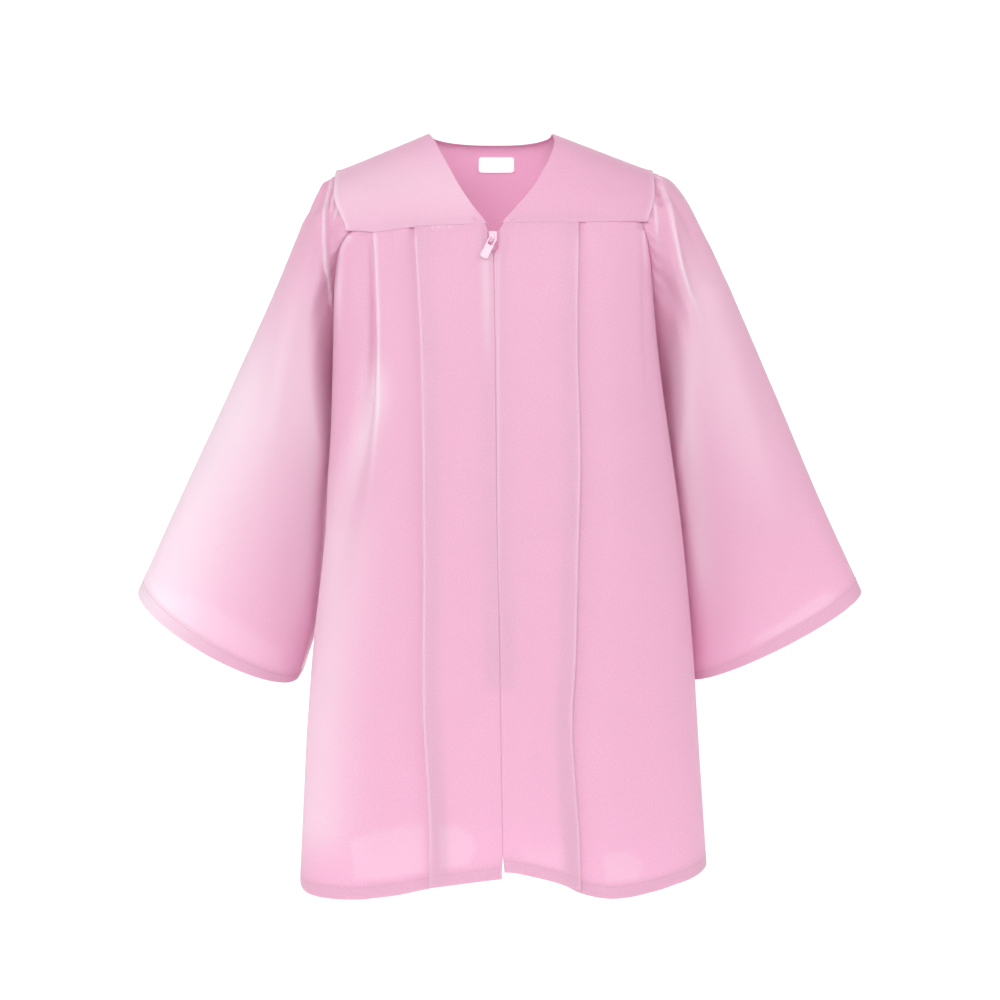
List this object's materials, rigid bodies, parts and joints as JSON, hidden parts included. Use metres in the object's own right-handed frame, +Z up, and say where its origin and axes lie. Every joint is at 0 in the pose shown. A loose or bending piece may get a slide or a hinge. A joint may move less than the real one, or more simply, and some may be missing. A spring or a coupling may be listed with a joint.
{
  "type": "graduation gown",
  "caption": "Child's open-neck graduation gown with yokes, knife-pleated fronts, fluted back, bell sleeves and a front zip, filled out as if worn.",
  "frame": {"origin": "midway in the neck opening at the height of the neck points, where the wearer's shoulders hold the gown", "axes": "+Z up, the gown faces -Y, +X towards the wearer's left"},
  "size_m": [0.5847, 0.2019, 0.5992],
  "materials": {
    "pink_cloth": "light pink woven polyester, matte with a soft sheen",
    "pink_tape": "pink woven zip tape",
    "pink_nylon": "pink nylon coil",
    "pink_enamel": "pale pink enamel, semi-gloss",
    "label_white": "white satin ribbon"
  },
  "bodies": {
    "gown": {"front_yoke_right": "pink_cloth", "front_yoke_left": "pink_cloth", "back_yoke": "pink_cloth", "front_panel_right": "pink_cloth", "front_panel_left": "pink_cloth", "back_panel": "pink_cloth", "sleeve_right": "pink_cloth", "sleeve_left": "pink_cloth", "zip_tape_right": "pink_tape", "zip_tape_left": "pink_tape", "zip_coil": "pink_nylon", "zip_slider": "pink_enamel", "neck_label": "label_white"},
    "pull_tab": {"zip_pull": "pink_enamel"}
  },
  "joints": [
    {"name": "pull_tab_swing", "type": "hinge", "parent": "gown", "child": "pull_tab", "pos_m": [-0.00292, -0.06649, -0.0902], "axis": [-0.9063, 0, 0.4226], "range_deg": [0, 135]}
  ]
}
